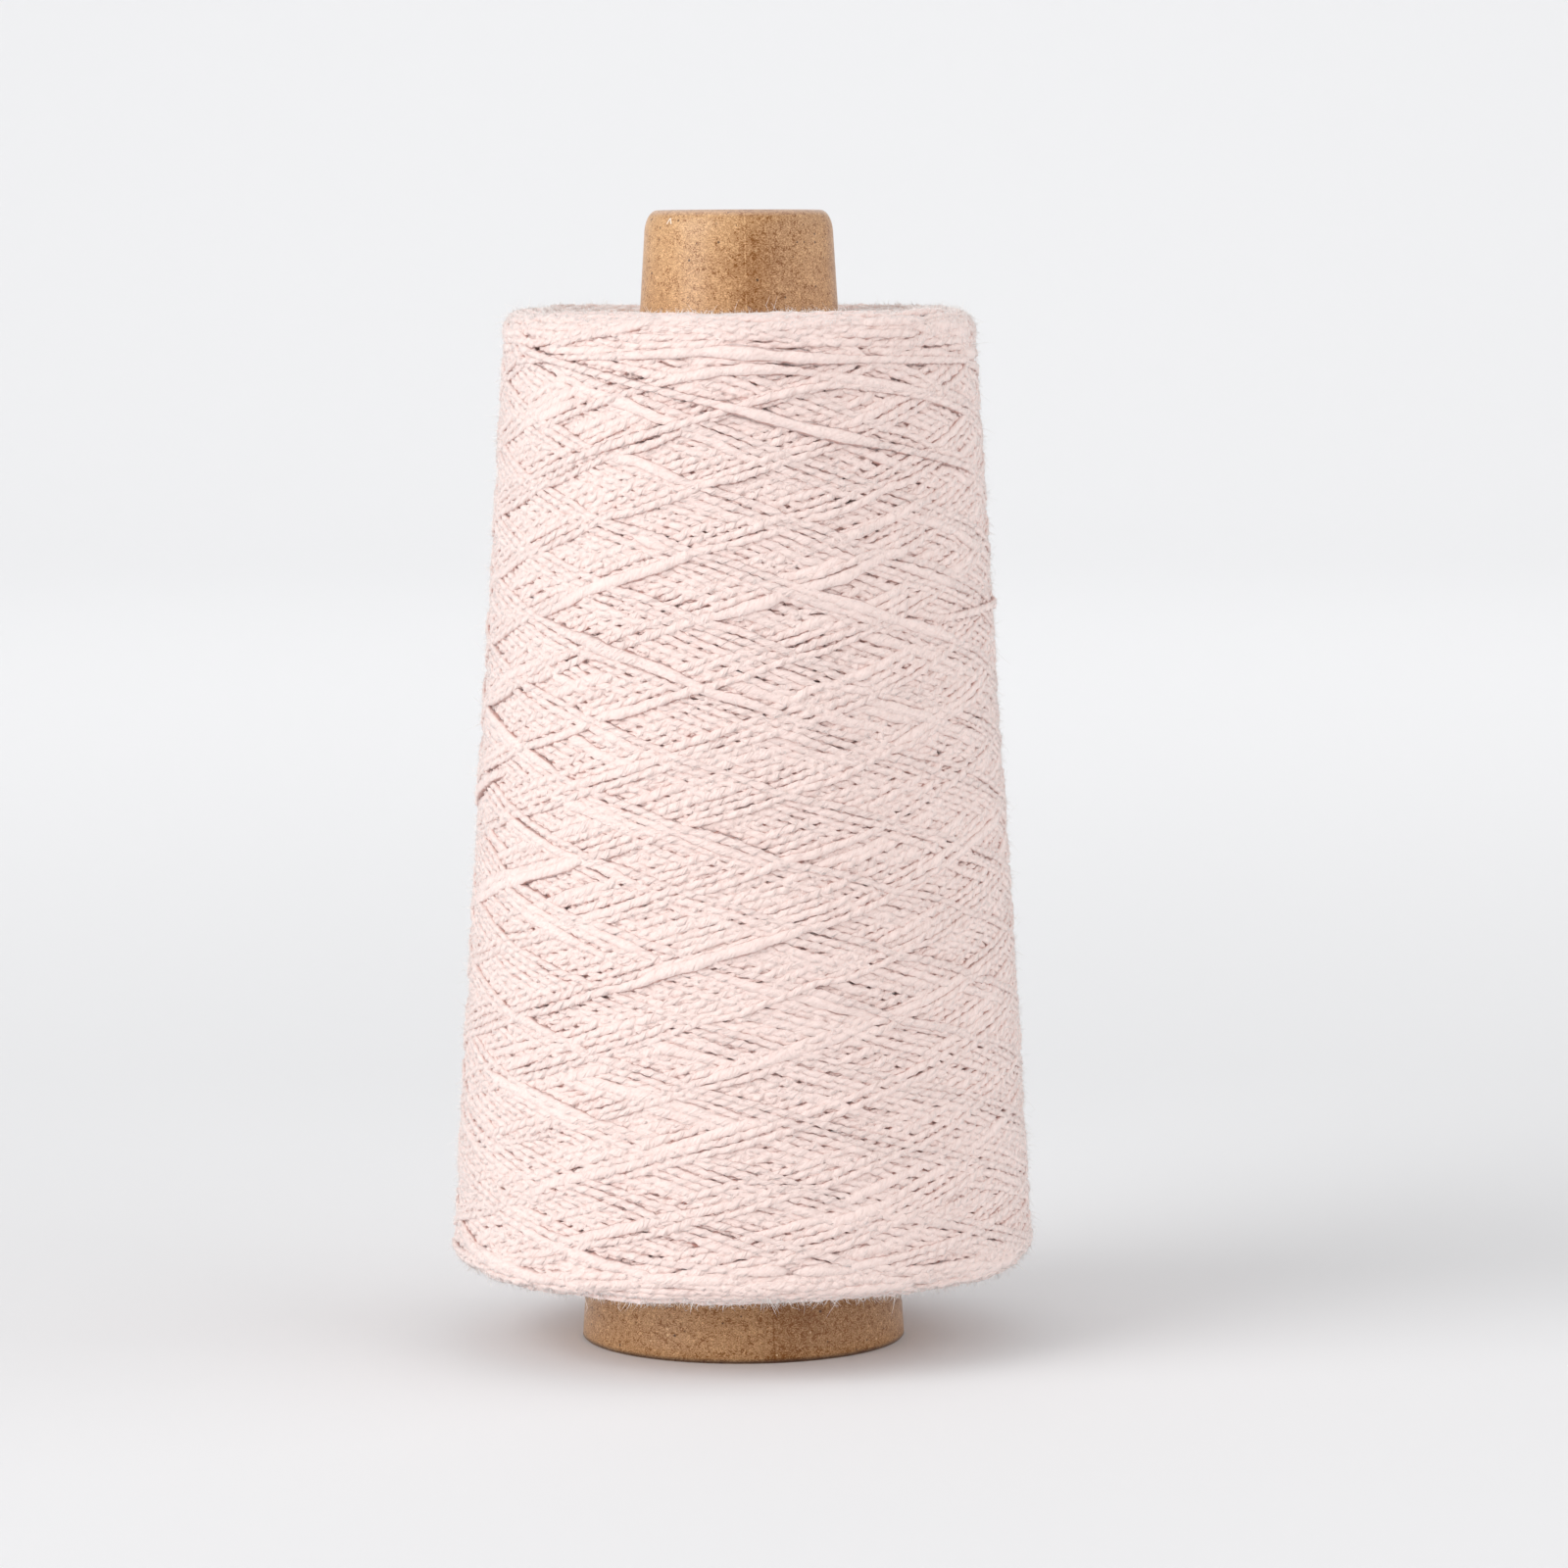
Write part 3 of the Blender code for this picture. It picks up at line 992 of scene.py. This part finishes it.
def kraft_lap(nodes, tone, angle, height):
    """The lap of the last layer: painted shade beside it and past it, and its edge a painted
    highlight at the nose and a dark line at the foot.
    """
    lap = nodes.spread(height, 0.0, CONE_HIGH.z, LAP_AT_FOOT, LAP_AT_NOSE)
    radius = nodes.spread(height, 0.0, CONE_HIGH.z, cone_radius(0), cone_radius(CONE_HIGH.z))
    past = nodes.times(nodes.minus(angle, lap), radius)
    edge = nodes.spread(nodes.math("ABSOLUTE", past), 0.0, LAP_EDGE, 1.0, 0.0)
    light = nodes.spread(height, 0.02, 0.15, -1.0, 1.0)
    # Painted shade: darker beside the lap and over the side past it, which gets less light.
    beside = nodes.spread(nodes.off(past, 2 * MM), 1.5 * MM, 7 * MM, 1.0, 0.0)
    tone = nodes.plus(tone, beside, -0.12)
    tone = nodes.plus(tone, nodes.spread(past, -2.5 * MM, 0.5 * MM), -0.13)
    return nodes.plus(tone, nodes.times(edge, light), 0.26, clamp=True)


def kraft_specks(nodes, place, scale):
    """Specks of the board, as a mask: small round ones, here and there."""
    spots = nodes.add("TexVoronoi", {"Vector": place, "Scale": scale})
    chance = nodes.add("SeparateXYZ", {"Vector": spots.outputs["Color"]}).outputs[0]
    reach = nodes.spread(chance, 0.35, 1.0, 0.0, 0.17)
    return nodes.math("LESS_THAN", spots.outputs["Distance"], reach)


def kraft_nick(nodes, angle, height):
    """The torn nick near the nose, as a mask."""
    aside = nodes.math("ABSOLUTE", nodes.times(nodes.minus(angle, NICK_ANGLE), NICK_RADIUS))
    below = nodes.minus(NICK_TOP, height)
    legs = nodes.math("ABSOLUTE", nodes.plus(aside, below, -NICK_SLOPE))
    torn = nodes.math("LESS_THAN", legs, NICK_LINE)
    inside = nodes.math("LESS_THAN", nodes.off(below, NICK_MIDDLE), NICK_REACH)
    return nodes.times(torn, inside)


def kraft_material(settings):
    """Smooth kraft board, with specks, its lap, a painted highlight on the nose's rim, a nick and a
    painted shadow at the foot.
    """
    nodes = Nodes("kraft_paperboard", KRAFT_FINISH)
    place = nodes.add("TexCoord").outputs["Object"]
    axes = nodes.add("SeparateXYZ", {"Vector": place})
    height = axes.outputs[2]
    angle = nodes.math("ARCTAN2", axes.outputs[0], nodes.times(axes.outputs[1], -1.0))
    tone = kraft_lap(nodes, kraft_tone(nodes, place, height), angle, height)
    colour = nodes.mix(tone, settings.dark, settings.colour)
    # Painted highlight: the crest of the nose paler and lilac, for the room's light glancing off
    # its rounded rim.
    rim_highlight = nodes.spread(height, CONE_HIGH.z - 0.8 * MM, CONE_HIGH.z - 0.2 * MM, 0.0, 0.28)
    # Painted shadow: a dark band just above the foot's cut edge, where it meets the floor; the cut
    # face under it is left out.
    contact_shadow = nodes.spread(height, 0.25 * MM, 0.8 * MM, 0.85, 0.0)
    contact_shadow = nodes.times(contact_shadow, nodes.spread(height, 0.02 * MM, 0.15 * MM))
    pale_share = nodes.spread(height, 0.0, 12 * MM, 0.75, 0.25)
    for share, mark in (
        (nodes.times(kraft_specks(nodes, place, 700.0), 0.8), srgb(62, 38, 28)),
        (nodes.times(kraft_specks(nodes, place, 800.0), pale_share), srgb(238, 205, 160)),
        (rim_highlight, srgb(226, 200, 190)),
        (kraft_nick(nodes, angle, height), srgb(240, 226, 212)),
        (contact_shadow, srgb(60, 42, 36)),
    ):
        colour = nodes.mix(share, colour, mark)
    return nodes.finish(colour, tone, 0.6, 0.03 * MM)


# --- Settings ---


def number_prop(name, value, description, **more):
    return FloatProperty(name=name, description=description, default=value, **more)


def length_prop(name, value, description):
    return number_prop(name, value, description, unit="LENGTH")


def count_prop(name, value, description, least=0):
    return IntProperty(name=name, description=description, default=value, min=least)


def colour_prop(name, value, description):
    return FloatVectorProperty(
        name=name, description=description, subtype="COLOR", default=value, min=0, max=1
    )


class ConeSettings(PropertyGroup):
    segments: count_prop("Segments", 144, "Faces round the paperboard cone", 24)
    colour: colour_prop("Kraft", srgb(235, 191, 142), "Colour of the paperboard's pale fibres")
    dark: colour_prop("Dark fibres", srgb(130, 78, 24), "Colour of the paperboard's dark fibres")


class WindingSettings(PropertyGroup):
    seed: count_prop("Seed", 11, "Chooses the yarn's chance unevenness")
    rounds: count_prop("Rounds", 20, "Rounds of the lattice that are laid", 8)
    lattice_starts: count_prop("Lattice starts", 8, "Newest strands side by side in a lattice", 1)
    stroke_turns: number_prop(
        "Turns a stroke", 31 / 16 + 0.00098, "Turns of the package while the strand crosses once"
    )
    traverse_low: length_prop("Traverse low", 9.2 * MM, "Lowest guide height")
    traverse_high: length_prop("Traverse high", 159.55 * MM, "Highest guide height")
    newest_climb: length_prop(
        "Newest climb", 64.4 * MM, "Height at which the newest climbing strand passes the front"
    )
    stray: length_prop("Stray", 0.22 * MM, "How far strands stray from an even lattice")
    strand_width: length_prop("Strand width", 1.27 * MM, "Width of a plain stretch")
    ply_pitch: length_prop("Ply pitch", 5.0 * MM, "Length of one turn of a ply")
    slub_spacing: length_prop("Slub spacing", 105 * MM, "Usual plain stretch between slubs")
    slub_length: length_prop("Slub length", 46 * MM, "Longest slub")
    slub_swell: number_prop("Slub swell", 0.7, "How much a full slub adds to the width")
    colour: colour_prop("Cotton", (0.97, 0.79, 0.74), "Colour of the yarn where light reaches it")
    # Painted shade: the colour the yarn is given deep between strands, standing in for the shade
    # there.
    crevice_shade_colour: colour_prop(
        "Crevice", (0.54, 0.28, 0.235), "Colour of the yarn deep between strands"
    )
    fuzz: count_prop("Fibres", 32000, "Short loose fibres", 100)
    fibre_width: length_prop("Fibre width", 0.05 * MM, "Width of a loose fibre")


class StudioSettings(PropertyGroup):
    distance: length_prop("Distance", 0.9345, "Camera to the cone's axis")
    height: length_prop("Height", 0.1768, "Camera over the floor")
    pitch: number_prop("Pitch", 0.0991, "How far the camera looks down", subtype="ANGLE")
    yaw: number_prop("Yaw", 0.0069, "How far the camera looks right", subtype="ANGLE")
    roll: number_prop("Roll", -0.0038, "How far the camera leans", subtype="ANGLE")
    lens: number_prop("Lens", 143.16, "Focal length in mm")
    sweep: colour_prop("Sweep", (0.833, 0.835, 0.846), "Colour of the floor and the backdrop")
    room_light: number_prop("Room light", 0.59, "Strength of the light that comes from all round")


# --- Operators ---


def ring_by_ring(name, outline, segments):
    """Models a turned wall: a circle extruded and scaled ring by ring round a closed outline."""
    deselect_all()
    radius, height = outline[0]
    bpy.ops.mesh.primitive_circle_add(vertices=segments, radius=radius, location=(0, 0, height))
    obj = bpy.context.object
    obj.name = obj.data.name = name
    bpy.ops.object.transform_apply(location=True)
    bpy.ops.object.mode_set(mode="EDIT")
    bpy.ops.mesh.select_mode(type="VERT")
    bpy.ops.mesh.select_all(action="SELECT")
    for next_radius, next_height in outline[1:]:
        rise = (0, 0, next_height - height)
        bpy.ops.mesh.extrude_region_move(TRANSFORM_OT_translate={"value": rise})
        scale = next_radius / radius
        bpy.ops.transform.resize(value=(scale, scale, 1), center_override=(0, 0, next_height))
        radius, height = next_radius, next_height
    select_edges(obj, lambda edge: edge.is_boundary)
    bpy.ops.mesh.bridge_edge_loops()
    bpy.ops.mesh.select_all(action="SELECT")
    bpy.ops.mesh.normals_make_consistent(inside=False)
    bpy.ops.object.mode_set(mode="OBJECT")
    return obj


def board_outline():
    """The paperboard's closed outline: up the outside, over the nose, down the bore, under."""
    top = CONE_HIGH.z
    lip = NOSE_LIP_RADIUS
    side = cone_radius(NOSE_START)
    mouth = cone_radius(top) - CONE_WALL - MOUTH_INSET
    outline = [(cone_radius(0) - CUT_WEAR, 0.0), (cone_radius(CUT_WEAR), CUT_WEAR)]
    outline += [(cone_radius(h), h) for h in np.linspace(2 * MM, 164 * MM, 10)]
    for turn in np.linspace(0, math.pi / 2, 9):
        height = NOSE_START + (top - NOSE_START) * math.sin(turn)
        outline.append((lip + (side - lip) * math.cos(turn), height))
    for turn in np.linspace(math.pi / 8, math.pi / 2, 4):
        height = top - CURL_DROP * (1 - math.cos(turn))
        outline.append((lip - (lip - mouth) * math.sin(turn), height))
    outline.append((side - CONE_WALL, NOSE_START - 0.6 * MM))
    outline += [(cone_radius(h) - CONE_WALL, h) for h in np.linspace(150 * MM, 2 * MM, 8)]
    outline.append((cone_radius(CUT_WEAR) - CONE_WALL, CUT_WEAR))
    outline.append((cone_radius(0) - CONE_WALL + CUT_WEAR, 0.0))
    return outline


class YARNCONE_OT_paper_cone(Operator):
    """Model the hollow paperboard cone with its rounded nose"""

    bl_idname = "yarncone.paper_cone"
    bl_label = "Paperboard cone"

    def execute(self, context):
        settings = context.scene.yarncone_cone
        board = ring_by_ring("paperboard", board_outline(), settings.segments)
        board.data.shade_smooth()
        finish_piece(board, kraft_material(settings))
        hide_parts("paper_cone")
        return {"FINISHED"}


class YARNCONE_OT_winding(Operator):
    """Wind the yarn on the cone and make the strands that show"""

    bl_idname = "yarncone.winding"
    bl_label = "Wound yarn"

    def execute(self, context):
        settings = context.scene.yarncone_winding
        package, ends, sides = wind(settings)
        Package.last_wound = package
        layers, faces = [StrandMesh()], StrandMesh()
        for strand in ends:
            faces.add(strand, FACE_STEPS)
        for strand in sides:
            if layers[-1].count > PIECE_POINTS:
                layers.append(StrandMesh())
            layers[-1].add(strand, SIDE_STEPS)
        pieces = [layer.make(f"strands_{number}") for number, layer in enumerate(layers, 1)]
        pieces += [faces.make("strands_ends"), bed_piece(package)]
        material = cotton_material(settings)
        for piece in pieces:
            finish_piece(piece, material)
            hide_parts("wound_yarn")
        return {"FINISHED"}


class YARNCONE_OT_fuzz(Operator):
    """Grow the loose fibres that stand out of the yarn"""

    bl_idname = "yarncone.fuzz"
    bl_label = "Fuzz"

    def execute(self, context):
        settings = context.scene.yarncone_winding
        package = Package.last_wound
        if package is None:
            raise RuntimeError("The yarn is wound before its fuzz grows.")
        generator = np.random.default_rng(settings.seed + 2)
        material = Nodes("loose_cotton", FIBRE_FINISH).material
        for kind, places in fuzz_places(package, generator, settings.fuzz).items():
            long, rise, curl, wide, segments = FUZZ_KINDS[kind]
            roots, headings = fibres_from(package, generator, *places, rise)
            lengths = long * MM * np.exp(generator.normal(0, 0.45, len(roots)))
            lengths = np.minimum(lengths, LONGEST_FIBRE)
            width = settings.fibre_width * wide
            points, quads, tips = fibre_mesh(
                generator, roots, headings, lengths, curl, width, segments
            )
            uvs = np.zeros((quads.size + tips.size, 2))
            piece = mesh_object("fuzz_" + kind, points, quads, tips, uvs, {})
            finish_piece(piece, material)
            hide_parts("wound_yarn")
        return {"FINISHED"}


def add_camera(scene, settings):
    data = bpy.data.cameras.new("camera")
    data.lens = settings.lens
    data.sensor_width = SENSOR_WIDTH
    data.sensor_fit = "HORIZONTAL"
    data.clip_start = 0.01
    camera = bpy.data.objects.new("camera", data)
    scene.collection.objects.link(camera)
    turned = Matrix.Rotation(-settings.yaw, 4, "Z")
    tilted = Matrix.Rotation(math.pi / 2 - settings.pitch, 4, "X")
    leaned = Matrix.Rotation(settings.roll, 4, "Z")
    place = Matrix.Translation((0, -settings.distance, settings.height))
    camera.matrix_world = place @ turned @ tilted @ leaned
    scene.camera = camera


def add_lamp(scene, name, place, target, width, power):
    data = bpy.data.lights.new(name, "AREA")
    data.shape = "DISK"
    data.size = width
    data.energy = power
    lamp = bpy.data.objects.new(name, data)
    lamp.location = place
    lamp.rotation_euler = (Vector(target) - Vector(place)).to_track_quat("-Z", "Y").to_euler()
    scene.collection.objects.link(lamp)


def pale_sweep(colour):
    """A floor that bends up into a wall behind the object."""
    deselect_all()
    bpy.ops.mesh.primitive_plane_add(size=FLOOR_WIDTH, location=(0, 0, 0))
    floor = bpy.context.object
    floor.name = floor.data.name = "sweep"
    bpy.ops.object.mode_set(mode="EDIT")
    select_edges(floor, lambda edge: all(v.co.y > 0 for v in edge.verts))
    bpy.ops.mesh.extrude_region_move(TRANSFORM_OT_translate={"value": (0, 0, WALL_HEIGHT)})
    bpy.ops.object.mode_set(mode="OBJECT")
    bevel = floor.modifiers.new("Bend", "BEVEL")
    bevel.width = SWEEP_BEND
    bevel.segments = 24
    bpy.ops.object.modifier_apply(modifier=bevel.name)
    floor.data.shade_smooth()
    finish = {**SWEEP_FINISH, "Base Color": (*colour, 1)}
    floor.data.materials.append(Nodes("pale_sweep", finish).material)
    return floor


class YARNCONE_OT_studio(Operator):
    """Set up the pale sweep, the soft lights and the camera"""

    bl_idname = "yarncone.studio"
    bl_label = "Studio"

    def execute(self, context):
        scene = context.scene
        settings = scene.yarncone_studio
        add_camera(scene, settings)
        floor = pale_sweep(settings.sweep)
        scene.world = bpy.data.worlds.new("soft_room")
        scene.world.use_nodes = True
        background = scene.world.node_tree.nodes["Background"]
        background.inputs["Color"].default_value = (1, 1, 1, 1)
        background.inputs["Strength"].default_value = settings.room_light
        for lamp in LAMPS:
            add_lamp(scene, *lamp)
        scene.view_settings.view_transform = "Standard"
        return {"FINISHED"}


class YARNCONE_PT_panel(Panel):
    """Lists the pieces of the cone of yarn"""

    bl_idname = "YARNCONE_PT_panel"
    bl_label = "Cone of Yarn"
    bl_space_type = "VIEW_3D"
    bl_region_type = "UI"
    bl_category = "Yarn Cone"

    def draw(self, context):
        for operator in OPERATORS:
            self.layout.operator(operator.bl_idname)


OPERATORS = (
    YARNCONE_OT_studio,
    YARNCONE_OT_paper_cone,
    YARNCONE_OT_winding,
    YARNCONE_OT_fuzz,
)
GROUPS = {
    "yarncone_cone": ConeSettings,
    "yarncone_winding": WindingSettings,
    "yarncone_studio": StudioSettings,
}


def register():
    for item in (*GROUPS.values(), *OPERATORS, YARNCONE_PT_panel):
        bpy.utils.register_class(item)
    for name, group in GROUPS.items():
        setattr(bpy.types.Scene, name, PointerProperty(type=group))


def unregister():
    for name in GROUPS:
        delattr(bpy.types.Scene, name)
    for item in (YARNCONE_PT_panel, *OPERATORS, *GROUPS.values()):
        bpy.utils.unregister_class(item)


def main():
    register()
    bpy.ops.yarncone.studio()
    bpy.ops.yarncone.paper_cone()
    bpy.ops.yarncone.winding()
    bpy.ops.yarncone.fuzz()


if __name__ == "__main__":
    main()
